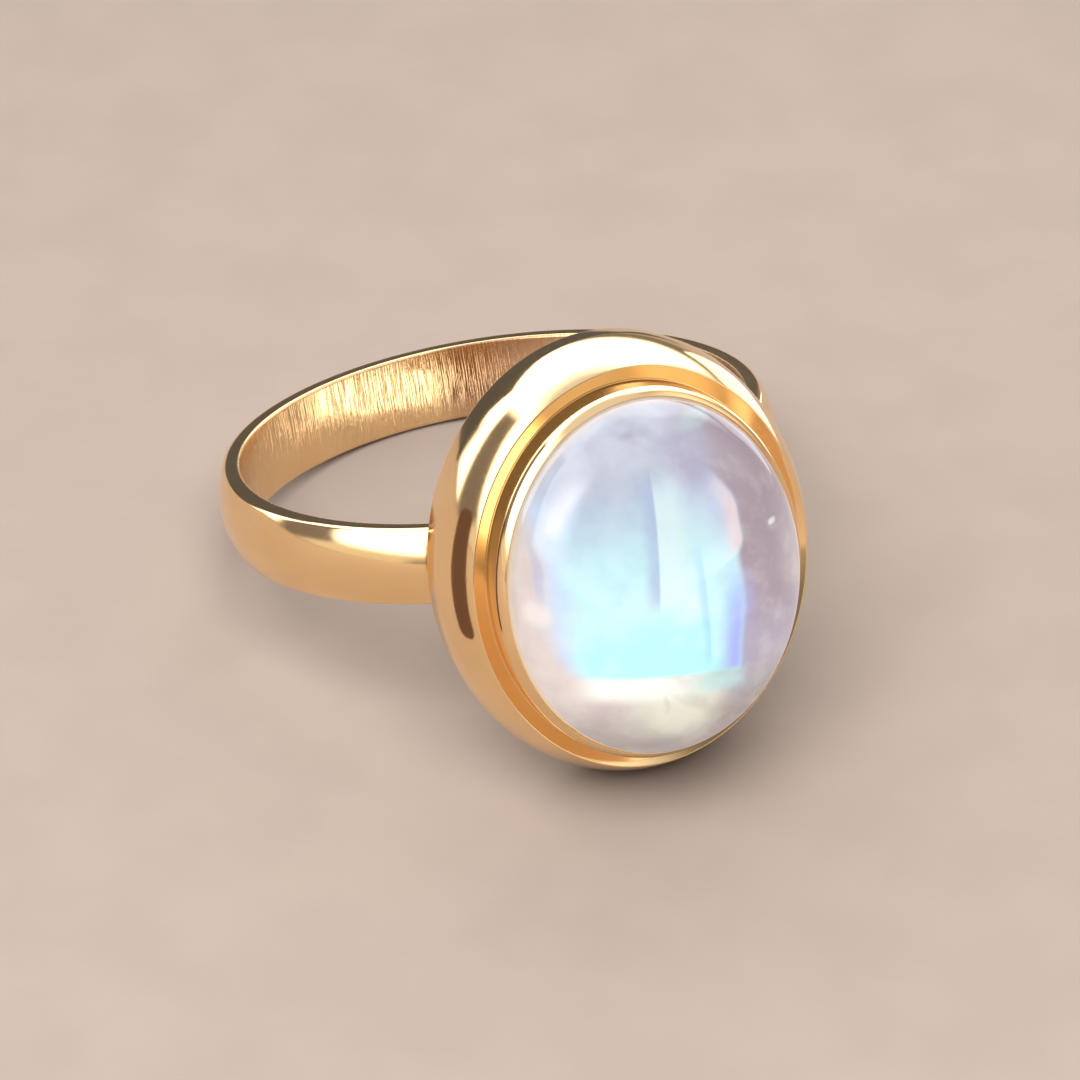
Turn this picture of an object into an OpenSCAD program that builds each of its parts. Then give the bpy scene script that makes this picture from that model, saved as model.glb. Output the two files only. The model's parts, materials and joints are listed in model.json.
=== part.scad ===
// Finger ring with an oval cabochon in a bezel with a wide rounded rim.
// It lies on its side: the shank's rear edge and the setting's lower edge touch the surface z = 0.
// +X is to the right, the stone looks along -Y and slightly up, and all sizes are in millimetres.

/* [Shank] */
// Inner diameter of the finger hole
finger_d = 17; // [15:0.5:22]
// Width of the shank, along the finger
shank_w = 2.65; // [2.4:0.05:3.6]
// Thickness of the shank at its crown
shank_t = 0.9; // [0.75:0.05:1.5]
// Radius of the crown across the shank
crown_r = 2.6; // [2.6:0.1:5]
// Radius of the shank's rounded outer edges
shank_edge_r = 0.18; // [0.1:0.02:0.2]

/* [Stone] */
// Width of the stone, across the finger
stone_w = 10; // [9.5:0.1:10.5]
// Length of the stone, along the finger
stone_l = 12; // [11.6:0.1:12.4]
// Height of the stone's side, from its flat base to the bezel's lip
stone_side_h = 2.4; // [2:0.1:2.8]
// Height of the upper stretch of the side, which leans in
stone_lean_h = 1.35; // [1:0.05:1.8]
// How far the side leans in at the lip
stone_lean = 0.09; // [0.08:0.01:0.2]
// Height of the dome above the lip
dome_h = 3; // [2:0.1:4]
// Gap between the stone and the metal
stone_gap = 0.05; // [0.03:0.01:0.08]

/* [Setting] */
// Height of the bezel's lip above the back of the setting
lip_h = 3.7; // [3.6:0.05:5]
// Thickness of the bezel's wall
bezel_t = 0.28; // [0.26:0.02:0.36]
// How far the rim stands out past the edge of the stone
rim_w = 1.32; // [1.2:0.01:1.8]
// Radius of the rim's curved side
rim_curve_r = 3.67; // [3.3:0.01:4.2]
// Height of the rim's straight side
rim_side_h = 0.95; // [0.8:0.05:1.6]
// How much the side draws in towards the back
rim_taper = 0.1; // [0:0.02:0.3]
// Radius of the rim's lower edge
rim_edge_r = 0.15; // [0.1:0.05:0.4]
// Height of the rim at the bezel, above the back of the setting
rim_in_h = 2.63; // [2.5:0.01:2.8]
// How steeply the rim's inner side falls towards the bezel, in degrees
rim_in_slope = 26; // [22:1:30]
// Thickness of the back plate
plate_t = 0.7; // [0.6:0.1:1]
// Width of the ledge that the stone sits on
bearing_w = 0.6; // [0.4:0.05:0.8]

/* [Shoulders] */
// Radius of the solder fillets between the shank and the back plate
fillet_r = 0.8; // [0.5:0.05:0.9]
// How much narrower the solder is than the shank
fillet_inset = 0.15; // [0.1:0.05:0.4]
// How deep the shank's crown is let into the back plate
sink = 0.05; // [0.02:0.01:0.1]

/* [Hidden] */
$fn = 96;
// The interior is drawn a little past each face that it cuts or joins
over = 0.1;

// Shank, seen in section: x is the distance from the finger's axis
finger_r = finger_d / 2;
shank_r = finger_r + shank_t;
crown_x = shank_r - crown_r;
edge_z = shank_w / 2 - shank_edge_r;
edge_x = crown_x + sqrt(pow(crown_r - shank_edge_r, 2) - pow(edge_z, 2));
edge_angle = atan2(edge_z, edge_x - crown_x);

// Heights above the finger's axis, towards the stone
back_h = shank_r - sink;
side_h = back_h + rim_side_h;
lip_top_h = back_h + lip_h;
stone_base_h = lip_top_h - stone_side_h;
lean_start_h = lip_top_h - stone_lean_h;
seat_h = stone_base_h - stone_gap;

// Setting, seen in section: distances outside the edge of the stone
half_w = stone_w / 2;
half_l = stone_l / 2;
lip_in = stone_gap - stone_lean;
bezel_out = lip_in + bezel_t;
bezel_mid = (stone_gap + bezel_out) / 2;

// Solder fillet, seen along the finger: it touches the shank and the back plate
fillet_h = back_h - fillet_r;
fillet_x = sqrt(pow(shank_r + fillet_r, 2) - pow(fillet_h, 2));
fillet_foot_h = fillet_h * shank_r / (shank_r + fillet_r);

// Resting pose: the line under the shank's rear edge and the rim's lower edge becomes level.
// Each edge is round, and the line runs from the centre of one round to the other's.
foot_y = edge_x + back_h + rim_edge_r;
foot_z = half_l + rim_w - rim_taper - rim_edge_r - edge_z;
rest_tilt = atan2(foot_z, foot_y) + asin((rim_edge_r - shank_edge_r) / norm([foot_y, foot_z]));
rest_lift = edge_x * sin(rest_tilt) + edge_z * cos(rest_tilt) + shank_edge_r;

// The origin lies below the middle of the ring, halfway from the dome to the shank's rear
dome_w = half_w - stone_lean;
dome_l = dome_w * half_l / half_w;
dome_reach = norm([dome_h * cos(rest_tilt), dome_l * sin(rest_tilt)]);
front_y = -lip_top_h * cos(rest_tilt) - dome_reach;
rear_y = crown_x * cos(rest_tilt) + crown_r;
origin_y = (front_y + rear_y) / 2;

// Turns a ring that is drawn with the finger's axis upright into its resting pose
module resting() {
    translate([0, -origin_y, rest_lift]) rotate([-rest_tilt, 0, 0]) children();
}

// Turns a setting that is drawn with the stone upwards so that it faces -Y
module facing_front() {
    rotate([90, 0, 0]) children();
}

// Turns a section into an oval body, whose edge lies the given distance outside the stone's
module oval(outside) {
    scale([1, (half_l + outside) / (half_w + outside), 1]) rotate_extrude() children();
}

// D-section: flat towards the finger, domed outside, with rounded edges
module shank_section() {
    translate([finger_r, -shank_w / 2]) square([edge_x - finger_r, shank_w]);
    for (s = [-1, 1]) translate([edge_x, s * edge_z]) circle(shank_edge_r);
    intersection() {
        translate([crown_x, 0]) circle(crown_r);
        polygon([
            [finger_r, -edge_z],
            [edge_x, -edge_z],
            [crown_x + 2 * crown_r * cos(edge_angle), -2 * crown_r * sin(edge_angle)],
            [crown_x + 2 * crown_r * cos(edge_angle), 2 * crown_r * sin(edge_angle)],
            [edge_x, edge_z],
            [finger_r, edge_z],
        ]);
    }
}

module shank() {
    rotate_extrude() shank_section();
}

// Solder that fills the corners between the round shank and the flat back plate
module shoulders() {
    difference() {
        translate([-fillet_x, -back_h - over, -shank_w / 2 + fillet_inset])
            cube([2 * fillet_x, back_h + over - fillet_foot_h, shank_w - 2 * fillet_inset]);
        for (s = [-1, 1]) translate([s * fillet_x, -fillet_h, -shank_w])
            cylinder(h = 2 * shank_w, r = fillet_r);
    }
}

// Rim: a straight side with a rounded back edge, then one arc up to the crest and past it
module rim_section() {
    rim_x = half_w + rim_w;
    edge_c = rim_x - rim_taper - rim_edge_r;
    polygon([
        [0, back_h],
        [edge_c, back_h],
        [edge_c, back_h + rim_edge_r],
        [edge_c + rim_edge_r, back_h + rim_edge_r],
        [rim_x, side_h],
        [0, side_h],
    ]);
    translate([edge_c, back_h + rim_edge_r]) circle(rim_edge_r);
    intersection() {
        translate([rim_x - rim_curve_r, side_h]) circle(rim_curve_r);
        translate([0, side_h - over]) square([rim_x, rim_curve_r + 2 * over]);
    }
}

// Bezel: a thin wall that leans in over the stone and ends in a round lip, with a ledge inside it
module bezel_section() {
    polygon([
        [half_w - bearing_w, back_h + over],
        [half_w + bezel_out, back_h + over],
        [half_w + bezel_out, lip_top_h],
        [half_w + lip_in, lip_top_h],
        [half_w + stone_gap, lean_start_h],
        [half_w + stone_gap, seat_h],
        [half_w - bearing_w, seat_h],
    ]);
    translate([half_w + lip_in + bezel_t / 2, lip_top_h]) circle(bezel_t / 2);
}

// Hollow of the rim: a well for the bezel and the stone, then the slope that leaves the crest
module hollow_section() {
    well_x = half_w + bezel_mid;
    top_h = side_h + rim_curve_r + over;
    polygon([
        [0, back_h + plate_t],
        [well_x, back_h + plate_t],
        [well_x, back_h + rim_in_h],
        [well_x + rim_w, back_h + rim_in_h + rim_w * tan(rim_in_slope)],
        [well_x + rim_w, top_h],
        [0, top_h],
    ]);
}

// The back plate and the rim are one body, hollowed out for the bezel and the stone
module setting() {
    difference() {
        oval(rim_w) rim_section();
        oval(bezel_mid) hollow_section();
    }
    oval(bezel_mid) bezel_section();
}

module ring_mount() {
    color([0.83, 0.62, 0.33])
    resting()
    difference() {
        union() {
            shank();
            shoulders();
            facing_front() setting();
        }
        translate([0, 0, -shank_w]) cylinder(h = 2 * shank_w, r = finger_r);
    }
}

// Cabochon: a flat base with a small bevel, a side that leans in, and a dome
module moonstone() {
    bevel = 0.2;
    color([0.78, 0.84, 0.95])
    resting()
    facing_front() {
        scale([1, half_l / half_w, 1]) rotate_extrude() polygon([
            [0, stone_base_h],
            [half_w - bevel, stone_base_h],
            [half_w, stone_base_h + bevel],
            [half_w, lean_start_h],
            [dome_w, lip_top_h],
            [0, lip_top_h],
        ]);
        intersection() {
            translate([0, 0, lip_top_h]) scale([dome_w, dome_l, dome_h]) sphere(1);
            translate([-stone_w, -stone_l, lip_top_h - over]) cube([2 * stone_w, 2 * stone_l, 2 * dome_h]);
        }
    }
}

ring_mount();
moonstone();
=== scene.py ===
# %% [markdown]
# This lesson models a gold ring with an oval moonstone, lying on its side on a pale surface.
# The measured frame comes first: it holds the finger hole, the width of the shank and the place
# of the stone, so every piece below is built in its true place and at its true size.

# %% Load the measured frame
import json
import math

import bmesh
import bpy
from mathutils import Matrix, Vector


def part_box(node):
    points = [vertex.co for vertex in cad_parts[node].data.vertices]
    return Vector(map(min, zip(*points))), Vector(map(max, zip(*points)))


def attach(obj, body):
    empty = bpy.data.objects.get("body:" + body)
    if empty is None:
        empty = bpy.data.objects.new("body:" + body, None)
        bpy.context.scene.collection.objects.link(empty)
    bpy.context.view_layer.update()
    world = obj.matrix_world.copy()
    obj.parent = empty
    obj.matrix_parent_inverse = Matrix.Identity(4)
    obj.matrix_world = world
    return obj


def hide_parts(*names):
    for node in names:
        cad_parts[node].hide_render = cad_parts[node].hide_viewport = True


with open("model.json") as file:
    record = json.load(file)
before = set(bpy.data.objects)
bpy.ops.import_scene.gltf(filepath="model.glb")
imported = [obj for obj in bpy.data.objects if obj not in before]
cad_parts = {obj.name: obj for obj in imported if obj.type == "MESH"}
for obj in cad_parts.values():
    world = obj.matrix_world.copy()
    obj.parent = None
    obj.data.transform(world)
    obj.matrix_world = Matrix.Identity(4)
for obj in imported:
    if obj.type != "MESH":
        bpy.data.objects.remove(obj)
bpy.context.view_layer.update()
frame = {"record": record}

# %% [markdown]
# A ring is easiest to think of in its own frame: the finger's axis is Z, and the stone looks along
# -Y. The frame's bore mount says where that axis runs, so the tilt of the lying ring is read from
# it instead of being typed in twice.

MM = 0.001
bore = frame["record"]["mounts"][0]
hole_centre = Vector(bore["pos_m"])
finger_axis = Vector(bore["axis"])
finger_r = bore["dims"]["r_mm"] * MM
shank_w = bore["dims"]["length_mm"] * MM
rest_tilt = math.atan2(finger_axis.y, finger_axis.z)

stone_low, stone_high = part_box("moonstone")
half_w = (stone_high.x - stone_low.x) / 2
LENGTH_TO_WIDTH = 12 / 10
half_l = half_w * LENGTH_TO_WIDTH

shank_t = 0.9 * MM
shank_r = finger_r + shank_t
sink = 0.05 * MM
back_h = shank_r - sink
lip_h = back_h + 3.7 * MM
dome_h = 3.0 * MM
print(f"the ring leans {math.degrees(rest_tilt):.2f} degrees")
print(f"the stone is {2 * half_w / MM:.1f} x {2 * half_l / MM:.1f} mm")

# %% [markdown]
# Two small helpers serve every piece. One leaves edit mode and clears the selection, because an
# operator acts on all that is selected. The other selects vertices by their place, as a hand would
# with a box, but exactly.

# %% Helpers for selecting
def start_fresh():
    """Leaves edit mode and clears the selection."""
    if bpy.context.object and bpy.context.object.mode != "OBJECT":
        bpy.ops.object.mode_set(mode="OBJECT")
    bpy.ops.object.select_all(action="DESELECT")


def make_active(piece):
    """Selects one piece alone, as the one that operators act on."""
    start_fresh()
    piece.select_set(True)
    bpy.context.view_layer.objects.active = piece


def select_where(piece, test):
    """Selects the vertices in edit mode whose place passes the test."""
    bpy.ops.mesh.select_mode(type="VERT")
    bpy.ops.mesh.select_all(action="DESELECT")
    mesh = bmesh.from_edit_mesh(piece.data)
    for vertex in mesh.verts:
        vertex.select_set(test(vertex.co))
    mesh.select_flush_mode()
    bmesh.update_edit_mesh(piece.data)


def arc(centre, radius, start, stop, steps):
    """Points along an arc, with angles in degrees."""
    turn = [math.radians(start + (stop - start) * i / steps) for i in range(steps + 1)]
    return [(centre[0] + radius * math.cos(a), centre[1] + radius * math.sin(a)) for a in turn]


print("helpers ready")

# %% [markdown]
# The shank is a plain band with a D-shaped section: flat against the finger and domed outside.
# It could be a torus that is squashed, but a drawn section keeps its flat inside and its rounded
# edges true. One vertex is extruded along the section, the section is closed, and it is spun
# once around the finger's axis.

# %% Draw a section vertex by vertex
def draw_section(name, points, plane):
    """Extrudes one vertex through the points and closes the loop. plane places a point in space."""
    start_fresh()
    bpy.ops.mesh.primitive_plane_add(size=MM)
    piece = bpy.context.object
    piece.name = name
    bpy.ops.object.mode_set(mode="EDIT")
    bpy.ops.mesh.select_all(action="SELECT")
    bpy.ops.mesh.merge(type="CENTER")
    bpy.ops.mesh.select_all(action="SELECT")
    here = Vector((0, 0, 0))
    for number, point in enumerate(points):
        there = plane(*point)
        if number == 0:
            bpy.ops.transform.translate(value=there - here)
        else:
            bpy.ops.mesh.extrude_region_move(TRANSFORM_OT_translate={"value": there - here})
        here = there
    bpy.ops.mesh.select_all(action="SELECT")
    bpy.ops.mesh.edge_face_add()
    return piece


# %% [markdown]
# The section's sizes are a goldsmith's: the radius of the crown, and the small radii of the edges
# that keep the band from cutting. The spin makes a double row of vertices where it closes, so they
# are merged before the normals are turned outwards.

# %% Model the shank
SPIN_STEPS = 288
EDGE_STEPS = 6
CROWN_STEPS = 24
WELD = 0.0005 * MM
crown_r = 2.6 * MM
edge_r = 0.18 * MM
inner_edge_r = 0.1 * MM
crown_x = shank_r - crown_r
edge_z = shank_w / 2 - edge_r
edge_x = crown_x + math.sqrt((crown_r - edge_r) ** 2 - edge_z ** 2)
edge_turn = math.degrees(math.atan2(edge_z, edge_x - crown_x))


def shank_section():
    """The D-shaped section, as distances from the finger's axis and along it."""
    inside = finger_r + inner_edge_r
    corner_z = shank_w / 2 - inner_edge_r
    return (
        arc((inside, -corner_z), inner_edge_r, 180, 270, EDGE_STEPS)
        + arc((edge_x, -edge_z), edge_r, -90, -edge_turn, EDGE_STEPS)
        + arc((crown_x, 0), crown_r, -edge_turn, edge_turn, CROWN_STEPS)[1:-1]
        + arc((edge_x, edge_z), edge_r, edge_turn, 90, EDGE_STEPS)
        + arc((inside, corner_z), inner_edge_r, 90, 180, EDGE_STEPS)
    )


def model_shank():
    """Spins the section once around the finger's axis."""
    shank = draw_section("shank", shank_section(), lambda x, z: Vector((x, 0, z)))
    bpy.ops.mesh.delete(type="ONLY_FACE")
    bpy.ops.mesh.select_all(action="SELECT")
    bpy.ops.mesh.spin(steps=SPIN_STEPS, angle=2 * math.pi, center=(0, 0, 0), axis=(0, 0, 1))
    bpy.ops.mesh.select_all(action="SELECT")
    bpy.ops.mesh.remove_doubles(threshold=WELD)
    bpy.ops.mesh.normals_make_consistent(inside=False)
    start_fresh()
    return shank


ring = model_shank()
print("shank:", len(ring.data.polygons), "faces")

# %% [markdown]
# The setting is one oval section swept around the stone: the back plate, the straight side, the
# wide rounded rim, its inner slope, and the thin bezel whose lip is pressed over the stone.
# A turned body stretched to an oval would make the rim wider at the ends, so each loop is
# extruded from the last one and resized on its own. The rim then keeps its width all round.

# %% Extrude oval loops one from another
OVAL_STEPS = 240


def around_stone(outside, height):
    """The two half-sizes and the height of an oval that lies outside the stone's edge."""
    return half_w + outside, half_l + outside, height


def loft_ovals(name, loops):
    """A closed body through ovals, each given as its two half-sizes and its height."""
    start_fresh()
    wide, long, height = loops[0]
    bpy.ops.mesh.primitive_circle_add(
        vertices=OVAL_STEPS, radius=1.0, fill_type="NGON", location=(0, 0, 0)
    )
    piece = bpy.context.object
    piece.name = name
    bpy.ops.object.mode_set(mode="EDIT")
    bpy.ops.mesh.select_all(action="SELECT")
    bpy.ops.transform.resize(value=(wide, long, 1), center_override=(0, 0, 0))
    bpy.ops.transform.translate(value=(0, 0, height))
    for new_wide, new_long, new_height in loops[1:]:
        bpy.ops.mesh.extrude_region_move(
            TRANSFORM_OT_translate={"value": (0, 0, new_height - height)}
        )
        bpy.ops.transform.resize(
            value=(new_wide / wide, new_long / long, 1), center_override=(0, 0, 0)
        )
        wide, long, height = new_wide, new_long, new_height
    return piece


# %% [markdown]
# The section starts at the back plate, goes round the lower edge, up the straight side and over the
# rim on one wide arc. From the crest it falls on a straight slope to the bezel, rises along the
# bezel to the lip, and returns inside along the stone to the seat. The arc and the slope could be
# one soft curve, but light then smears: a crisp crest gives the rim its bright double line.

# %% Name the setting's sizes
CORNER_STEPS = 8
SMALL_STEPS = 4
RIM_STEPS = 30
LIP_STEPS = 12
rim_w = 1.32 * MM
side_h = back_h + 0.95 * MM
rim_arc_r = 3.67 * MM
rim_turn = 32.5
taper = 0.1 * MM
back_edge_r = 0.15 * MM
crest_r = 0.05 * MM
valley_h = back_h + 2.68 * MM
valley_r = 0.03 * MM
bezel_t = 0.28 * MM
lip_edge_r = 0.05 * MM
lip_drop = 0.22 * MM
lip_bulge = 0.04 * MM
plate_t = 0.7 * MM
bearing_w = 0.6 * MM
face_border = 0.3 * MM
stone_gap = 0.05 * MM
stone_lean = 0.09 * MM
stone_base_h = lip_h - 2.4 * MM
lean_start_h = lip_h - 1.35 * MM
lip_in = stone_gap - stone_lean
bezel_out = lip_in + bezel_t
print(f"rim: {rim_w / MM:.2f} mm wide, bezel: {bezel_t / MM:.2f} mm thick")

# %% [markdown]
# A drawn corner is never quite sharp on real metal. Where two straight stretches meet, a true arc
# takes the corner's place, because an edge of even a twentieth of a millimetre catches the light.

# %% Round the corners and the lip
def rounded(before, corner, after, radius, steps):
    """Points on the arc that rounds a corner between two straight stretches."""
    to_before, to_after = ((Vector(end) - Vector(corner)).normalized() for end in (before, after))
    half_angle = to_before.angle(to_after) / 2
    centre = Vector(corner) + (to_before + to_after).normalized() * (radius / math.sin(half_angle))
    reach = radius / math.tan(half_angle)
    first = Vector(corner) + to_before * reach - centre
    last = Vector(corner) + to_after * reach - centre
    sides = [first.lerp(last, i / steps).normalized() * radius for i in range(steps + 1)]
    return [tuple(centre + side) for side in sides]


def lip_points():
    """The lip leans in over the stone and bulges most halfway, and its inner edge is rounded."""
    start = Vector((bezel_out, lip_h - lip_drop))
    stop = Vector((lip_in + lip_edge_r, lip_h + bezel_t / 2))
    out = Vector((stop.y - start.y, start.x - stop.x)).normalized()
    shares = [i / LIP_STEPS for i in range(LIP_STEPS + 1)]
    bulged = [start.lerp(stop, t) + out * (lip_bulge * 4 * t * (1 - t)) for t in shares]
    edge_centre = (lip_in + lip_edge_r, lip_h + bezel_t / 2 - lip_edge_r)
    edge = arc(edge_centre, lip_edge_r, 90, 180, SMALL_STEPS)
    return [tuple(point) for point in bulged] + edge[1:]


print("lip:", len(lip_points()), "points")

# %% [markdown]
# Now the whole section is one list of points, in the order in which the loops are extruded. The
# setting is built with the stone looking up, and then turned to face -Y.

# %% Model the setting
def setting_section():
    """The setting's section, as distances outside the stone's edge and heights above the finger."""
    back_corner = rim_w - taper - back_edge_r
    rim = arc((rim_w - rim_arc_r, side_h), rim_arc_r, 0, rim_turn, RIM_STEPS)
    valley = (bezel_out, valley_h)
    lip = lip_points()
    seat_h = stone_base_h - stone_gap
    return (
        [(back_corner - face_border, back_h)]
        + arc((back_corner, back_h + back_edge_r), back_edge_r, -90, 0, CORNER_STEPS)
        + rim[:-2]
        + rounded(rim[-2], rim[-1], valley, crest_r, CORNER_STEPS)
        + rounded(rim[-1], valley, lip[0], valley_r, SMALL_STEPS)
        + lip
        + [(lip_in, lip_h), (stone_gap, lean_start_h)]
        + [(stone_gap, seat_h), (-bearing_w, seat_h), (-bearing_w, back_h + plate_t)]
        + [(-bearing_w - face_border, back_h + plate_t)]
    )


def model_setting():
    """Lofts the setting and turns it to face the front."""
    setting = loft_ovals("setting", [around_stone(*point) for point in setting_section()])
    bpy.ops.mesh.select_all(action="SELECT")
    bpy.ops.mesh.normals_make_consistent(inside=False)
    make_active(setting)
    setting.rotation_euler = (math.radians(90), 0, 0)
    bpy.ops.object.transform_apply()
    return setting


setting = model_setting()
print("setting:", len(setting.data.polygons), "faces")

# %% [markdown]
# Where the round shank meets the flat back plate, hard solder fills the corner in a smooth hollow.
# Its outline is drawn as two fillet arcs that touch both the shank and the plate, closed through
# the metal where nobody sees it, and then extruded along the finger.

# %% Model the solder in the shoulders
FILLET_STEPS = 16
BURIED_STEPS = 40
fillet_r = 0.8 * MM
solder_inset = 0.15 * MM
buried = 0.3 * MM


def solder_outline():
    """The solder seen along the finger, as distances across and heights above the axis."""
    centre_h = back_h - fillet_r
    centre_x = math.sqrt((shank_r + fillet_r) ** 2 - centre_h ** 2)
    foot_turn = math.degrees(math.atan2(centre_h, centre_x))
    right = arc((centre_x, centre_h), fillet_r, 90, 180 + foot_turn, FILLET_STEPS)
    left = [(-x, h) for x, h in reversed(right)]
    inner = arc((0, 0), shank_r - buried, foot_turn, 180 - foot_turn, BURIED_STEPS)
    top = [(-centre_x, back_h + buried), (centre_x, back_h + buried)]
    return top + right + inner + left


def model_solder():
    """Draws the solder's outline and extrudes it along the finger."""
    solder = draw_section("solder", solder_outline(), lambda x, h: Vector((x, -h, 0)))
    half = shank_w / 2 - solder_inset
    bpy.ops.mesh.select_all(action="SELECT")
    bpy.ops.transform.translate(value=(0, 0, -half))
    bpy.ops.mesh.extrude_region_move(TRANSFORM_OT_translate={"value": (0, 0, 2 * half)})
    bpy.ops.mesh.select_all(action="SELECT")
    bpy.ops.mesh.normals_make_consistent(inside=False)
    start_fresh()
    return solder


solder = model_solder()
print("solder:", len(solder.data.polygons), "faces")

# %% [markdown]
# Soldered and polished, the shank, the solder and the setting are one body of metal. Three meshes
# that only pass through each other would leave hidden walls inside, so they are joined by boolean
# unions, and what stays is one clean skin.

# %% Solder the metal into one body
SMOOTH_BELOW = math.radians(32)


def fuse(body, other):
    """Joins two bodies into one skin and removes the second."""
    make_active(body)
    union = body.modifiers.new("union", "BOOLEAN")
    union.operation = "UNION"
    union.solver = "EXACT"
    union.object = other
    bpy.ops.object.modifier_apply(modifier=union.name)
    bpy.data.objects.remove(other)


def lay_down(piece):
    """Turns a piece from the ring's own frame to where the ring lies."""
    make_active(piece)
    piece.matrix_world = Matrix.Translation(hole_centre) @ Matrix.Rotation(-rest_tilt, 4, "X")
    bpy.ops.object.transform_apply()


fuse(ring, solder)
fuse(ring, setting)
ring.name = "gold_ring"
ring.data.name = "gold_ring"
lay_down(ring)
bpy.ops.object.shade_smooth_by_angle(angle=SMOOTH_BELOW)
print("gold ring:", len(ring.data.polygons), "faces")

# %% [markdown]
# The moonstone is a cabochon: flat below, with a short straight side that the bezel grips, and a
# smooth dome. The same oval loops make it, and the last loop is merged to one vertex at the top.

# %% Model the moonstone
DOME_STEPS = 60
touching_lean = 0.05 * MM
base_bevel = 0.2 * MM


def stone_loops():
    """Ovals from the flat base up the side, then over the dome but for its very top."""
    dome_w = half_w - touching_lean
    dome_l = dome_w * half_l / half_w
    base = [(-base_bevel - face_border, stone_base_h), (-base_bevel, stone_base_h)]
    side = [(0, stone_base_h + base_bevel), (0, lean_start_h)]
    rises = [math.radians(90 * i / DOME_STEPS) for i in range(DOME_STEPS)]
    dome = [
        (dome_w * math.cos(a), dome_l * math.cos(a), lip_h + dome_h * math.sin(a)) for a in rises
    ]
    return [around_stone(*point) for point in base + side] + dome


def top_of(piece):
    """Height of the highest vertex of a piece in edit mode."""
    return max(vertex.co.z for vertex in bmesh.from_edit_mesh(piece.data).verts)


def model_stone():
    """Lofts the cabochon and closes the dome with one vertex at its very top."""
    stone = loft_ovals("moonstone_cabochon", stone_loops())
    bpy.ops.mesh.merge(type="CENTER")
    select_where(stone, lambda co: co.xy.length < WELD and co.z > lip_h)
    bpy.ops.transform.translate(value=(0, 0, lip_h + dome_h - top_of(stone)))
    bpy.ops.mesh.select_all(action="SELECT")
    bpy.ops.mesh.normals_make_consistent(inside=False)
    make_active(stone)
    stone.rotation_euler = (math.radians(90), 0, 0)
    bpy.ops.object.transform_apply()
    lay_down(stone)
    bpy.ops.object.shade_smooth_by_angle(angle=SMOOTH_BELOW)
    return stone


stone = model_stone()
print("stone:", len(stone.data.polygons), "faces")

# %% [markdown]
# The finishes are node trees. A small class keeps them readable: each call adds one node, and an
# input may be a number, a colour or the output of another node.

# %% Helpers for node trees
class Graph:
    """Adds nodes to a material or a world, and links them."""

    def __init__(self, owner):
        owner.use_nodes = True
        self.tree = owner.node_tree

    def set(self, socket, value):
        """Links an output to a socket, or sets a plain value on it."""
        if isinstance(value, bpy.types.NodeSocket):
            self.tree.links.new(value, socket)
        else:
            socket.default_value = value

    def add(self, kind, *values, **settings):
        """Adds one node, with values for its inputs in their order."""
        node = self.tree.nodes.new(kind)
        for name, value in settings.items():
            setattr(node, name, value)
        for socket, value in zip(node.inputs, values):
            self.set(socket, value)
        return node

    def math(self, operation, *values):
        return self.add("ShaderNodeMath", *values, operation=operation).outputs[0]

    def times(self, *values):
        product = values[0]
        for value in values[1:]:
            product = self.math("MULTIPLY", product, value)
        return product

    def less(self, first, *others):
        """The first value less each of the others."""
        for other in others:
            first = self.math("SUBTRACT", first, other)
        return first

    def line(self, slope, start, of):
        """start + slope * of."""
        return self.math("ADD", start, self.times(of, slope))

    def dot(self, first, second):
        node = self.add("ShaderNodeVectorMath", first, second, operation="DOT_PRODUCT")
        return node.outputs["Value"]

    def step(self, value, start, stop):
        """Rises smoothly from 0 at start to 1 at stop, or falls where start is above stop."""
        low, high, from_to = (start, stop, (0, 1)) if start < stop else (stop, start, (1, 0))
        return self.add(
            "ShaderNodeMapRange", value, low, high, *from_to, interpolation_type="SMOOTHSTEP"
        ).outputs[0]

    def mix(self, share, first, second):
        node = self.tree.nodes.new("ShaderNodeMix")
        node.data_type = "RGBA"
        self.set(node.inputs[0], share)
        self.set(node.inputs[6], first)
        self.set(node.inputs[7], second)
        return node.outputs[2]

    def noise(self, vector, scale, detail):
        node = self.add("ShaderNodeTexNoise")
        self.set(node.inputs["Vector"], vector)
        self.set(node.inputs["Scale"], scale)
        self.set(node.inputs["Detail"], detail)
        return node.outputs[0]

    def shader(self, **values):
        shader = self.tree.nodes["Principled BSDF"]
        for name, value in values.items():
            self.set(shader.inputs[name.replace("_", " ")], value)
        return shader

    def ring_frame(self):
        """Object coordinates turned back to the ring's own frame, with the finger's axis as Z."""
        turned_back = Matrix.Rotation(rest_tilt, 3, "X")
        placed = self.add("ShaderNodeMapping")
        self.set(placed.inputs["Vector"], self.add("ShaderNodeTexCoord").outputs["Object"])
        placed.inputs["Rotation"].default_value = (rest_tilt, 0, 0)
        placed.inputs["Location"].default_value = -(turned_back @ hole_centre)
        return placed.outputs[0]


print("graph helper ready")

# %% [markdown]
# Colours that are matched to what a screen shows have to be turned into the linear values that a
# shader works with. Lights and reflections are given as linear values from the start.

# %% Helpers for colours and materials
def paint(red, green, blue):
    """A screen colour, 0 to 255, as the linear colour that a shader takes."""
    return tuple(
        part / 12.92 if part <= 0.04045 else ((part + 0.055) / 1.055) ** 2.4
        for part in (red / 255, green / 255, blue / 255)
    ) + (1,)


def grey(brightness, tint=(1, 1, 1)):
    """A linear colour from a brightness and a tint."""
    return tuple(brightness * part for part in tint) + (1,)


def new_material(name):
    material = bpy.data.materials.new(name)
    return material, Graph(material)


def give(piece, material):
    piece.data.materials.clear()
    piece.data.materials.append(material)


print("a mid grey on screen is", f"{paint(128, 128, 128)[0]:.3f}", "in a shader")

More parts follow.
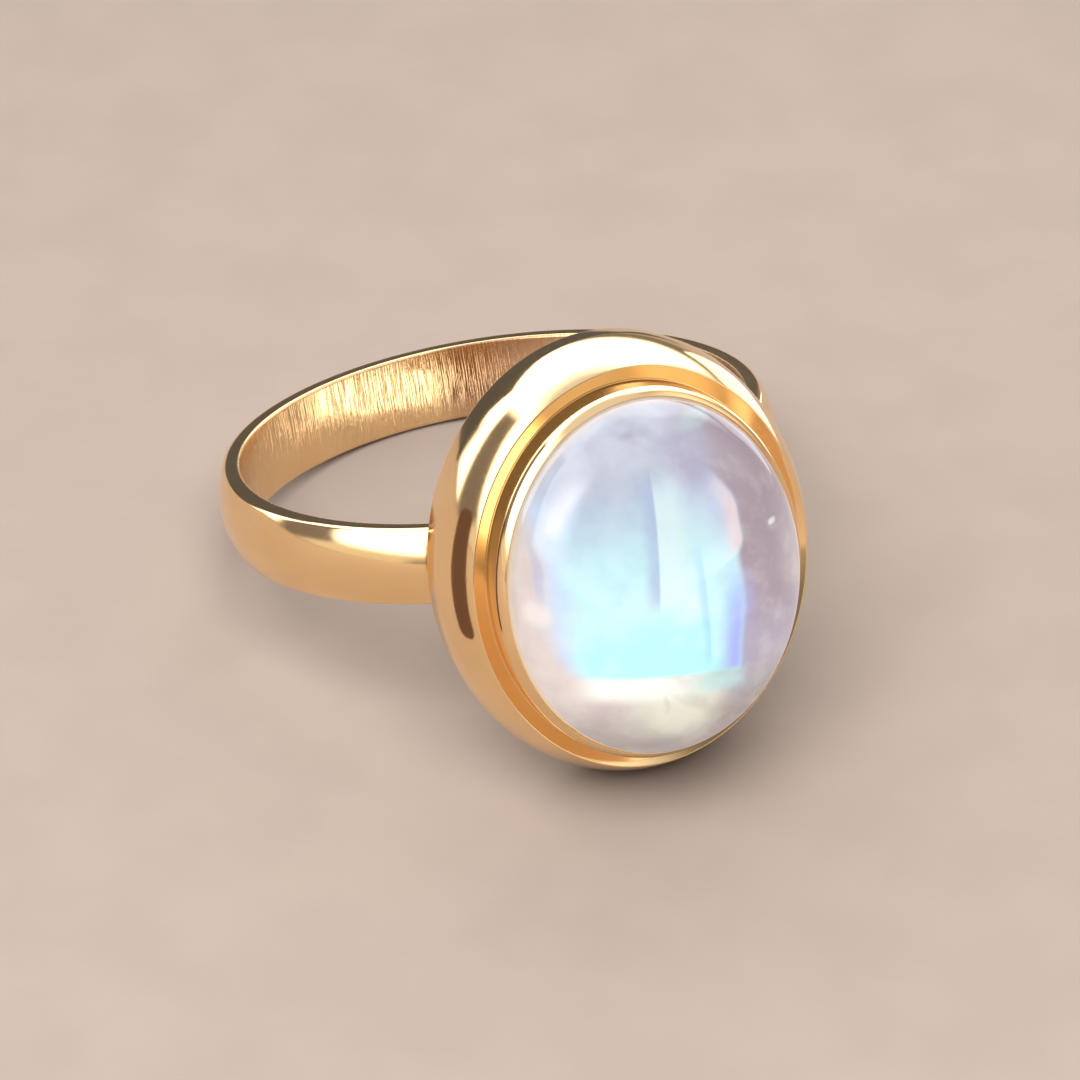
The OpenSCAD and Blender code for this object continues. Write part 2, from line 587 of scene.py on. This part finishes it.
# %% [markdown]
# Worn gold plating is a mirror with a memory: it is bright and yellow, but polishing leaves it
# slightly uneven, and the inside of the shank keeps fine lines that run along the finger.
# A bump from a soft noise bends the reflections a little, a finer noise varies the polish, and
# lines that follow the angle around the finger scratch the inside only. They are deepest at the
# rear, where the ring is worn most. Beside them a stretch of the inside is painted darker gold,
# as painted shade for the darker reflection that this part shows.

# %% Gold plating
BRIGHT_GOLD = (0.97, 0.69, 0.37, 1)
DEEP_GOLD = (0.94, 0.65, 0.34, 1)
SHADED_INSIDE_GOLD = (0.66, 0.42, 0.24, 1)
LINES_AROUND = 60.0
LINES_ALONG = 250.0
RIPPLE_SCALE = 420.0
GRAIN_SCALE = 5200.0
# Turns around the finger, in radians from the rear of the shank
WORN_START = (-0.42, -0.3)
WORN_END = (0.2, 0.06)
SHADED_INSIDE_START = (0.08, 0.28)
inner_skin = 0.05 * MM
skin_end = 0.15 * MM
ripple_h = 0.02 * MM
scratch_h = 0.004 * MM
worn_h = 0.008 * MM
smoothest = 0.05
smudge = 0.10
scratch_blur = 0.12


def gold_plating():
    gold, g = new_material("polished_gold")
    place = g.ring_frame()
    along_x, along_y, along_z = g.add("ShaderNodeSeparateXYZ", place).outputs
    from_axis = g.math("SQRT", g.math("ADD", g.times(along_x, along_x), g.times(along_y, along_y)))
    inside = g.step(from_axis, finger_r + skin_end, finger_r + inner_skin)
    turn = g.math("ARCTAN2", along_x, along_y)
    around = g.times(turn, LINES_AROUND)
    lines = g.add("ShaderNodeCombineXYZ", around, g.times(along_z, LINES_ALONG), 0.0).outputs[0]
    scratches = g.step(g.noise(lines, 3.0, 4.0), 0.45, 0.7)
    uneven = g.noise(place, RIPPLE_SCALE, 1.0)
    fine = g.noise(place, GRAIN_SCALE, 3.0)
    tint = g.mix(g.step(uneven, 0.35, 0.65), BRIGHT_GOLD, DEEP_GOLD)
    # Painted shade: a stretch of the inside is darker, for the darker reflection it shows.
    tint = g.mix(g.times(inside, g.step(turn, *SHADED_INSIDE_START)), tint, SHADED_INSIDE_GOLD)
    worn = g.times(g.step(turn, *WORN_START), g.step(turn, *WORN_END))
    depth = g.math("ADD", scratch_h, g.times(worn, worn_h))
    height = g.math("ADD", g.times(uneven, ripple_h), g.times(scratches, inside, depth))
    bump = g.add("ShaderNodeBump")
    bump.inputs["Strength"].default_value = 1.0
    bump.inputs["Distance"].default_value = 1.0
    g.set(bump.inputs["Height"], height)
    roughness = g.math("ADD", g.times(fine, smudge), smoothest)
    roughness = g.math("ADD", roughness, g.times(scratches, inside, scratch_blur))
    g.shader(Base_Color=tint, Metallic=1.0, Roughness=roughness, Normal=bump.outputs[0])
    return gold


give(ring, gold_plating())
print("plated:", ring.name)

# %% [markdown]
# Moonstone is milky and clear at once. Thin layers inside it scatter blue light, so the stone
# seems to hold a glowing cloud that ends in a straight edge, with a fine crack through it.
# The cloud lies inside a smooth clear dome. It could be a second body within glass, but that
# needs many light bounces; here it is painted in the stone's own coordinates, in millimetres
# across and along. A soft noise moves every border a little, as the layers of a real stone do.

# %% Map the stone
WANDER_SCALE = 450.0
WANDER_MM = 0.8
CLOUD_RIGHT = 2.2
CLOUD_LOW = -2.7
CLOUD_SLOPE = -0.17


class StoneMap:
    """The stone's own map: u runs across it and v along it, in millimetres from its middle."""

    def __init__(self, g):
        self.g = g
        self.place = g.ring_frame()
        x, _, z = g.add("ShaderNodeSeparateXYZ", self.place).outputs
        self.u = g.times(x, 1 / MM)
        self.v = g.times(z, 1 / MM)
        soft_noise = g.noise(self.place, WANDER_SCALE, 3.0)
        self.wander = g.times(g.math("SUBTRACT", soft_noise, 0.5), WANDER_MM)
        self.loose_u = g.math("ADD", self.u, self.wander)
        self.loose_v = g.math("SUBTRACT", self.v, g.times(self.wander, 0.5))
        across = g.math("POWER", g.times(x, 1 / half_w), 2.0)
        along = g.math("POWER", g.times(z, 1 / half_l), 2.0)
        self.reach = g.math("SQRT", g.math("ADD", across, along))
        self.find_cloud()

    def find_cloud(self):
        """How far a point is past the cloud's right edge and above its lower edge, and if inside."""
        g, v = self.g, self.v
        draws_in_high = g.times(g.step(v, 2.4, 5.2), 1.3)
        small_notch = g.times(g.step(v, 1.5, 0.9), 0.25)
        draws_in_low = g.times(g.step(v, 0.5, -3.0), 0.4)
        right_edge = g.less(CLOUD_RIGHT, draws_in_high, small_notch, draws_in_low)
        self.past_edge = g.less(g.math("ADD", self.u, g.times(self.wander, 0.3)), right_edge)
        self.above_edge = g.less(v, g.line(CLOUD_SLOPE, CLOUD_LOW, self.u))
        self.in_cloud = g.times(
            g.step(self.loose_u, -4.5, -3.75),
            g.step(self.past_edge, 0.2, -0.15),
            g.step(self.above_edge, -0.05, 0.25),
            g.step(self.loose_v, 4.9, 3.4),
            g.step(g.math("ADD", self.loose_u, self.loose_v), -6.1, -4.9),
        )

    def spot(self, centre, size, soft=0.5):
        """A soft oval spot, with its centre and half-sizes in millimetres."""
        g = self.g
        across = g.math("DIVIDE", g.math("SUBTRACT", self.loose_u, centre[0]), size[0])
        along = g.math("DIVIDE", g.math("SUBTRACT", self.loose_v, centre[1]), size[1])
        away = g.math("SQRT", g.math("ADD", g.times(across, across), g.times(along, along)))
        return g.step(away, 1 + soft, 1 - soft)


def paint_layers(g, colour, layers):
    """Paints layers over a colour. A row holds what it shows, its share and its screen colour."""
    for _, share, tone in layers:
        colour = g.mix(share, colour, paint(*tone))
    return colour


print("stone map: 1 unit is 1 mm, the edge is at", round(half_w / MM, 1), round(half_l / MM, 1))

# %% [markdown]
# Under everything lies the clear, slightly mauve body of the stone, and in it the cloud, cyan
# below and greyer above. Each is one blend from side to side with a few soft layers over it.

# %% Clear body and cloud
def clear_body(m):
    g, u, v, loose_u, loose_v = m.g, m.u, m.v, m.loose_u, m.loose_v
    clear = g.mix(g.step(loose_u, -4.6, 1.0), paint(226, 210, 204), paint(178, 160, 170))
    right_side = g.times(g.step(loose_u, 3.2, 4.4), g.step(loose_v, 2.4, 0.6), 0.8)
    haze = g.times(g.step(m.past_edge, 0.8, 0.0), g.step(u, 1.0, 1.6), g.step(v, 1.0, -0.6), 0.9)
    top = g.times(g.step(loose_v, 3.0, 4.8), g.step(loose_u, 2.6, 0.4))
    low_right = g.times(g.step(loose_v, -0.5, -2.0), g.step(loose_u, 1.0, 2.4))
    return paint_layers(g, clear, (
        ("pale right side", right_side, (206, 196, 198)),
        ("violet haze beside the cloud", haze, (184, 180, 226)),
        ("blue-grey top", top, (204, 208, 224)),
        ("mauve lower right", low_right, (186, 175, 192)),
        # Painted light: the warm grey at the bottom is the gold bezel and the floor seen through the
        # stone.
        ("painted gold and floor seen through the bottom", g.step(loose_v, -2.6, -4.4), (186, 174, 168)),
    ))


def glowing_cloud(m):
    g, loose_v = m.g, m.loose_v
    cloud = g.mix(g.step(loose_v, -1.2, 0.6), paint(190, 255, 255), paint(210, 250, 255))
    lilac = g.times(g.step(m.past_edge, -1.5, -0.5), g.step(m.v, 0.8, 2.4), 0.65)
    return paint_layers(g, cloud, (
        ("blue-grey upper half", g.step(loose_v, 1.2, 4.0), (198, 212, 234)),
        ("pale blue left side", g.step(m.loose_u, -3.2, -4.0), (208, 226, 250)),
        ("lilac upper right", lilac, (202, 206, 236)),
    ))


# %% [markdown]
# A crack shows as a dark side and a bright side that meet in a sharp line, because light is
# bent away on one side and caught on the other. Below the cloud's straight edge lies a bright
# strip that fades into cream, with a touch of teal at its right end. The cream is painted light:
# the gold bezel and the floor seen through the stone.

# %% Cracks and the strip below the cloud
def cracks(m):
    g, u, v = m.g, m.u, m.v
    off_crack = g.less(u, g.line(slope=0.14, start=-1.02, of=v))
    crack_length = g.times(g.step(v, -0.3, 0.5), g.step(v, 4.6, 3.2))
    dark = g.times(crack_length, g.step(off_crack, -0.6, -0.05), g.step(off_crack, 0.07, 0.0), 0.8)
    bright = g.times(crack_length, g.step(off_crack, 0.02, 0.1), g.step(off_crack, 1.5, 0.5), 0.8)
    off_second = g.less(u, g.line(slope=0.03, start=0.55, of=v))
    second_length = g.times(g.step(m.above_edge, 0.3, 0.9), g.step(v, 1.8, 0.8))
    shade = g.times(
        second_length, g.step(off_second, -0.35, -0.02), g.step(off_second, 0.12, 0.02), 0.6
    )
    light = g.times(
        second_length, g.step(off_second, 0.05, 0.2), g.step(off_second, 0.9, 0.5), 0.7
    )
    border = g.times(g.step(m.past_edge, -1.0, -0.15), g.step(m.past_edge, 0.2, -0.15))
    violet = g.times(border, g.step(v, 1.4, -1.2), g.step(m.above_edge, 0.0, 0.3))
    return (
        ("dark side of the crack", dark, (184, 202, 232)),
        ("bright side of the crack", bright, (232, 255, 255)),
        ("glow at its foot", g.times(m.spot((-0.05, -0.1), (0.5, 0.5), 0.8), 0.6), (240, 255, 255)),
        ("shade of the second line", shade, (172, 224, 255)),
        ("light beside it", light, (214, 255, 255)),
        ("violet border of the cloud", violet, (178, 188, 255)),
    )


def strip_below(m):
    g, u = m.g, m.u
    under = g.step(m.above_edge, 0.3, 0.02)
    # Painted light: the cream is the gold bezel and the floor seen through the stone.
    cream = g.times(under, m.spot((-0.5, -3.6), (1.5, 1.1), 0.6))
    strip_left = g.times(under, g.step(m.loose_u, -4.1, -2.9))
    strip = g.times(strip_left, g.step(m.loose_u, 1.4, -1.2), g.step(m.above_edge, -0.95, -0.35))
    teal = g.times(
        under, g.step(u, -0.6, 0.6), g.step(u, 2.1, 1.2), g.step(m.above_edge, -0.9, -0.2)
    )
    blue_line = g.times(m.spot((2.2, -3.7), (0.8, 0.3), 0.8), 0.4)
    brown_corner = g.times(m.spot((2.6, -4.7), (1.5, 0.9), 0.8), 0.6)
    low_shade = g.times(m.spot((-1.3, -5.0), (0.9, 0.25), 0.8), 0.4)
    olive_speck = g.times(m.spot((-1.0, -3.4), (0.08, 0.35)), 0.35)
    return (
        ("cream of gold and floor seen under the strip", cream, (232, 230, 208)),
        ("bright strip", strip, (255, 255, 246)),
        ("teal end of the strip", teal, (200, 232, 228)),
        ("blue-grey line", blue_line, (176, 194, 204)),
        ("brown-grey corner", brown_corner, (150, 140, 138)),
        ("shade at the bottom", low_shade, (164, 156, 146)),
        ("small olive speck", olive_speck, (196, 194, 170)),
    )


# %% [markdown]
# The last marks are small: a pink border high on the right, specks on the left, a painted
# reflection of the window as an arc along the upper left edge, a small painted highlight at the
# right, and frost inside the top. Faint streaks and a fine mottle keep the clear body from looking
# like paint, and a painted reflection of the gold bezel warms the very edge.

# %% Small marks and streaks
STREAK_COS, STREAK_SIN = 0.8, 0.6
STREAK_SCALE = 1.1
STRETCH = 0.3
MOTTLE_SCALE = 1300.0


def small_marks(m):
    g, u, v = m.g, m.u, m.v
    pink_border = g.times(g.step(m.past_edge, -0.75, -0.15), g.step(m.past_edge, 0.1, -0.05))
    pink = g.times(pink_border, g.step(v, 0.9, 1.4), g.step(v, 4.0, 2.4))
    off_arc = g.math("ABSOLUTE", g.less(g.math("ADD", m.reach, g.times(m.wander, 0.04)), 0.875))
    # Painted reflection of the window: a thin bright arc along the upper left edge.
    window_reflection_arc = g.times(
        g.step(off_arc, 0.07, 0.01), g.step(v, 2.2, 3.2), g.step(v, 4.7, 3.6),
        g.step(u, -1.6, -2.8), 0.85,
    )
    return (
        ("pink border", pink, (240, 222, 226)),
        ("warm speck", g.times(m.spot((-4.35, 0.3), (0.28, 0.4)), 0.7), (248, 236, 230)),
        ("mauve line", g.times(m.spot((-4.25, 1.6), (0.12, 0.9)), 0.7), (196, 192, 214)),
        ("painted reflection of the window", window_reflection_arc, (244, 246, 255)),
        ("mauve frost", g.times(m.spot((1.0, 4.4), (0.7, 0.9)), 0.7), (180, 174, 200)),
        ("dark chip", g.times(m.spot((-0.5, 5.3), (0.3, 0.1), 0.8), 0.5), (172, 168, 186)),
        # A pale patch near the top of the stone.
        ("pale patch at the top", g.times(m.spot((1.7, 5.2), (0.7, 0.2)), 0.7), (200, 216, 222)),
        # Painted highlight: a small white glint on the right.
        ("painted highlight at the right", g.times(m.spot((3.5, 1.5), (0.16, 0.1)), 0.9), (250, 246, 246)),
    )


def streaks_and_mottle(m):
    g, u, v = m.g, m.u, m.v
    along_streak = g.less(g.times(u, STREAK_COS), g.times(v, STREAK_SIN))
    across_streak = g.math("ADD", g.times(u, STREAK_SIN), g.times(v, STREAK_COS))
    stretched = g.add("ShaderNodeCombineXYZ", g.times(along_streak, STRETCH), across_streak, 0.0)
    streaks = g.noise(stretched.outputs[0], STREAK_SCALE, 2.0)
    outside = g.less(1.0, g.times(m.in_cloud, 0.85))
    mottle = g.noise(m.place, MOTTLE_SCALE, 3.0)
    dark_streaks = g.times(g.step(streaks, 0.5, 0.34), outside, g.step(u, -4.5, 0.0), 0.18)
    return (
        ("pale streaks", g.times(g.step(streaks, 0.5, 0.68), outside, 0.16), (226, 216, 222)),
        ("dark streaks", dark_streaks, (160, 146, 160)),
        ("pale mottle", g.times(g.step(mottle, 0.45, 0.7), 0.14), (246, 246, 250)),
        ("blue mottle", g.times(g.step(mottle, 0.52, 0.3), 0.12), (168, 168, 200)),
        # Painted reflection: the gold bezel seen in the stone's very edge.
        ("painted reflection of the gold at the edge", g.times(g.step(m.reach, 0.97, 0.995), 0.6), (236, 206, 160)),
    )


# %% [markdown]
# The painting works in two ways at once. Most of it is painted glow: it is emitted, as if the
# stone were a lamp, and stands in for light that has scattered inside. A darker copy of it is the
# stone's own body, which the room lights, and that copy is painted darker towards the top, as
# painted shade that offsets the stronger light falling there. Under the glossy surface a little of
# the light is let into the body, and that softens the whole.

# %% Moonstone
# Painted glow: how strongly the stone's painted colours are emitted, as if it were a lamp.
PAINTED_GLOW = 0.62
BODY_LOW = 0.26
BODY_HIGH = 0.1


def moonstone_milk():
    milk, g = new_material("moonstone_milk")
    m = StoneMap(g)
    colour = g.mix(m.in_cloud, clear_body(m), glowing_cloud(m))
    for layers in (cracks(m), strip_below(m), small_marks(m), streaks_and_mottle(m)):
        colour = paint_layers(g, colour, layers)
    # Painted shade: the lit body is darker towards the top, offsetting the stronger light that falls
    # there.
    body_share_against_top_light = g.mix(g.step(m.loose_v, -4.5, 4.5), grey(BODY_LOW), grey(BODY_HIGH))
    body = g.add("ShaderNodeVectorMath", colour, body_share_against_top_light, operation="MULTIPLY")
    milk.cycles.emission_sampling = "NONE"
    g.shader(
        Base_Color=body.outputs[0], Roughness=0.04, IOR=1.53, Subsurface_Weight=0.3,
        Subsurface_Scale=0.5 * MM, Subsurface_Radius=(1.0, 1.0, 1.2),
        Emission_Color=colour, Emission_Strength=PAINTED_GLOW,
    )
    return milk


give(stone, moonstone_milk())
print("painted:", stone.name)

# %% [markdown]
# Each piece hides the CAD node that it replaces, and rides on the one body of the ring.

# %% Tie the pieces to the frame
for piece, node, slot in ((ring, "ring_mount", "gold"), (stone, "moonstone", "moonstone")):
    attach(piece, "root")
    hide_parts(node)
    print(piece.name, "replaces", node)

# %% [markdown]
# The ring lies on a plain pale surface, matt and slightly warm, wide enough to fill the picture
# and the reflections.

# %% Lay the floor
FLOOR_SIZE = 2
SAND_SCALE = 260.0
DARKER_SAND = (0.160, 0.127, 0.107, 1)
LIGHTER_SAND = (0.167, 0.133, 0.112, 1)


def add_plane(name, size, matrix):
    """A flat rectangle for the scenery, apart from the ring."""
    start_fresh()
    bpy.ops.mesh.primitive_plane_add(size=1)
    plane = bpy.context.object
    plane.name = name
    bpy.ops.object.mode_set(mode="EDIT")
    bpy.ops.mesh.select_all(action="SELECT")
    bpy.ops.transform.resize(value=(size[0], size[1], 1))
    bpy.ops.object.mode_set(mode="OBJECT")
    plane.matrix_world = matrix
    bpy.ops.object.transform_apply()
    return plane


def pale_surface():
    pale, g = new_material("pale_surface")
    place = g.add("ShaderNodeTexCoord").outputs["Object"]
    tone = g.step(g.noise(place, SAND_SCALE, 4.0), 0.35, 0.65)
    g.shader(Base_Color=g.mix(tone, DARKER_SAND, LIGHTER_SAND), Roughness=0.9)
    return pale


floor = add_plane("floor", (FLOOR_SIZE, FLOOR_SIZE), Matrix.Identity(4))
give(floor, pale_surface())
print("floor:", FLOOR_SIZE, "m square")

# %% [markdown]
# The camera looks down on the ring from the left, from a little over twenty centimetres, with a
# long lens. It looks past the middle of the ring, so it is panned and rolled slightly.

# %% Place the camera
azimuth = math.radians(-23.134)
elevation = math.radians(37.625)
roll = math.radians(-1.295)
distance = 216.489 * MM
pan_right = 1.427 * MM
pan_up = -2.604 * MM
FRAME_PX = 1080
FOCAL_PX = 6472.6
SENSOR_MM = 36

back = Vector((
    math.sin(azimuth) * math.cos(elevation),
    -math.cos(azimuth) * math.cos(elevation),
    math.sin(elevation),
))
level_right = Vector((math.cos(azimuth), math.sin(azimuth), 0))
level_up = back.cross(level_right)
right = math.cos(roll) * level_right + math.sin(roll) * level_up
up = -math.sin(roll) * level_right + math.cos(roll) * level_up
camera = bpy.data.objects.new("camera", bpy.data.cameras.new("camera"))
bpy.context.scene.collection.objects.link(camera)
camera.matrix_world = Matrix.Translation(
    hole_centre + distance * back + pan_right * right + pan_up * up
) @ Matrix((right, up, back)).transposed().to_4x4()
camera.data.sensor_width = SENSOR_MM
camera.data.lens = FOCAL_PX / FRAME_PX * SENSOR_MM
camera.data.clip_start = 0.01
bpy.context.scene.camera = camera
print(f"lens {camera.data.lens:.0f} mm at {distance / MM:.0f} mm")

# %% [markdown]
# Polished gold shows little but the room around it, so the room is what has to be built. Here it
# is a wide soft white window to the left and behind, warmer and darker to the right and near the
# horizon, with a dark gap in it. Most parts are cards with soft edges, placed by compass
# direction and height above the horizon, and painted on the world behind the scene. The window
# is a belt with a level lower edge instead, because the rim shows that edge as a sharp line.

# %% Soft cards and a level belt for the sky
def sky_card(g, direction, azimuth, elevation, width, height, lean=0, soft=4, taper=0):
    """The share of a soft-edged card that a direction sees. Angles are in degrees."""
    a, e = math.radians(azimuth), math.radians(elevation)
    ahead = Vector((math.sin(a) * math.cos(e), math.cos(a) * math.cos(e), math.sin(e)))
    turn = Matrix.Rotation(math.radians(lean), 3, ahead)
    to_right = turn @ Vector((math.cos(a), -math.sin(a), 0))
    upwards = to_right.cross(ahead)
    across = g.math("ARCTAN2", g.dot(direction, to_right), g.dot(direction, ahead))
    rise = g.math("ARCSINE", g.dot(direction, upwards))
    half_width, half_height, edge = (math.radians(part) for part in (width / 2, height / 2, soft))
    if taper:
        across = g.times(across, g.math("ADD", 1, g.times(rise, taper)))
    in_width = g.step(g.math("ABSOLUTE", across), half_width + edge, half_width - edge)
    in_height = g.step(g.math("ABSOLUTE", rise), half_height + edge, half_height - edge)
    return g.times(in_width, in_height)


def sky_belt(g, direction, azimuths, elevations, side_soft, low_soft, high_soft):
    """The share of a belt between two compass directions and two heights that a direction sees."""
    x, y, z = g.add("ShaderNodeSeparateXYZ", direction).outputs
    azimuth = g.times(g.math("ARCTAN2", x, y), math.degrees(1))
    elevation = g.times(g.math("ARCSINE", z), math.degrees(1))
    return g.times(
        g.step(azimuth, azimuths[0] - side_soft, azimuths[0] + side_soft),
        g.step(azimuth, azimuths[1] + side_soft, azimuths[1] - side_soft),
        g.step(elevation, elevations[0] - low_soft, elevations[0] + low_soft),
        g.step(elevation, elevations[1] + high_soft, elevations[1] - high_soft),
    )


def paint_cards(g, direction, sky, cards):
    """Paints cards over the sky. A row holds a card's name, brightness, tint and place."""
    for _, brightness, tint, place in cards:
        sky = g.mix(sky_card(g, direction, **place), sky, grey(brightness, tint))
    return sky


# %% [markdown]
# The order matters, as with paper: what is laid later covers what lies below. First come the dim
# parts near the horizon, then the window, then the parts that lie over it.

# %% Paint the studio sky
DIM_ROOM = grey(0.22, (1.0, 0.95, 0.9))
CEILING = grey(0.85, (1.0, 1.0, 1.05))
WINDOW_LIGHT = grey(3.2, (1.0, 0.99, 0.96))
WINDOW = dict(azimuths=(-130, 65), elevations=(11, 60), side_soft=9, low_soft=4, high_soft=9)
CARDS_UNDER_WINDOW = (
    ("warm wall at the right", 0.5, (1.0, 0.85, 0.7),
     dict(azimuth=80, elevation=25, width=40, height=60, soft=12)),
    ("tan horizon at the left", 0.9, (1.0, 0.92, 0.8),
     dict(azimuth=-95, elevation=4, width=80, height=20, soft=6)),
    ("dim horizon in front", 0.4, (1.0, 0.9, 0.8),
     dict(azimuth=180, elevation=1, width=120, height=8, soft=4)),
)
CARDS_OVER_WINDOW = (
    ("window sill behind", 3.0, (1.0, 0.98, 0.94),
     dict(azimuth=-42, elevation=6, width=20, height=24, soft=4)),
    ("dark gap in the window", 0.24, (1.0, 0.92, 0.95),
     dict(azimuth=-59, elevation=21.5, width=25, height=46, lean=34, soft=3, taper=0.5)),
    ("light wall at the right", 1.3, (1.0, 0.97, 0.9),
     dict(azimuth=115, elevation=32, width=60, height=44, soft=14)),
    ("low light in front", 1.8, (1.0, 1.0, 1.0),
     dict(azimuth=148, elevation=1, width=36, height=10, soft=4)),
)


def studio_sky():
    world = bpy.data.worlds.new("studio")
    g = Graph(world)
    direction = g.add("ShaderNodeTexCoord").outputs["Generated"]
    height = g.add("ShaderNodeSeparateXYZ", direction).outputs["Z"]
    sky = g.mix(g.step(height, 0.7, 0.95), DIM_ROOM, CEILING)
    sky = paint_cards(g, direction, sky, CARDS_UNDER_WINDOW)
    sky = g.mix(sky_belt(g, direction, **WINDOW), sky, WINDOW_LIGHT)
    sky = paint_cards(g, direction, sky, CARDS_OVER_WINDOW)
    background = world.node_tree.nodes["Background"]
    g.set(background.inputs["Color"], sky)
    return world


scene = bpy.context.scene
scene.world = studio_sky()
print("sky:", len(CARDS_UNDER_WINDOW) + len(CARDS_OVER_WINDOW), "cards and a window")

# %% [markdown]
# Some parts of the room stand too close to be sky. Two dark flags, one behind the ring and one
# beside the rim, draw the dark lines that give gold its depth. Two white cards, one at the right
# and a small one low in the finger hole, draw the bright ones. They glow by themselves, so their
# brightness is exact, and only reflections see them, so they light and shade nothing.

# %% Place the flags and the cards
def reflected_card(name, size, matrix, colour, corner_r=0.0):
    """A flat card that reflections alone can see, with rounded corners where a radius is given."""
    card = add_plane(name, size, matrix)
    if corner_r:
        make_active(card)
        bpy.ops.object.mode_set(mode="EDIT")
        bpy.ops.mesh.select_all(action="SELECT")
        bpy.ops.mesh.bevel(offset=corner_r, segments=CORNER_STEPS, affect="VERTICES")
        start_fresh()
    glow, g = new_material(name)
    g.shader(
        Base_Color=grey(0.0), Roughness=1.0, Specular_IOR_Level=0.0,
        Emission_Color=colour, Emission_Strength=1.0,
    )
    give(card, glow)
    card.visible_camera = False
    card.visible_diffuse = False
    card.visible_shadow = False
    card.visible_transmission = False
    print(name, "stands", round(card.dimensions.length / MM), "mm corner to corner")
    return card


def stood_up(centre, turn, lean):
    """Stands a card on its short edge, turned about the vertical and leaning in its own plane."""
    return (
        Matrix.Translation(Vector(centre) * MM)
        @ Matrix.Rotation(math.radians(turn), 4, "Z")
        @ Matrix.Rotation(math.radians(-lean), 4, "X")
        @ Matrix.Rotation(math.radians(90), 4, "Y")
    )


reflected_card(
    "back_flag", (40 * MM, 90 * MM), stood_up((6, 60, 3.3), 90, -28),
    grey(0.11, (1.0, 1.0, 1.05)),
)
reflected_card(
    "side_flag", (6.6 * MM, 1.6 * MM), stood_up((-8.5, -6.5, 8.0), 0, 16),
    grey(0.16, (1.0, 0.6, 0.5)), 0.6 * MM,
)
reflected_card(
    "right_card", (16 * MM, 15 * MM), stood_up((30.6, 12.5, 8.1), 38, 0),
    grey(2.0), 2.0 * MM,
)
reflected_card(
    "low_card", (2.4 * MM, 5.6 * MM), stood_up((4.0, 4.0, 1.3), 125, 0),
    grey(3.0, (1.0, 0.97, 0.9)), 0.4 * MM,
)

# %% [markdown]
# The window alone would leave deep shadows under the ring. A wide lamp above, a little to the
# front and the left, lifts them. The gold's reflections leave it out, as they would show it as
# one more white disk.

# %% Hang the lamp
LAMP_PLACE = (-0.15, -0.25, 0.42)
LAMP_WIDTH = 0.5
LAMP_POWER = 9.0

lamp_data = bpy.data.lights.new("overhead", "AREA")
lamp_data.shape = "DISK"
lamp_data.size = LAMP_WIDTH
lamp_data.energy = LAMP_POWER
lamp = bpy.data.objects.new("overhead", lamp_data)
lamp.location = LAMP_PLACE
lamp.visible_glossy = False
lamp.visible_camera = False
scene.collection.objects.link(lamp)

scene.view_settings.view_transform = "Standard"
scene.cycles.use_denoising = True
print(f"lamp: {LAMP_POWER:.0f} W, {LAMP_WIDTH} m wide")
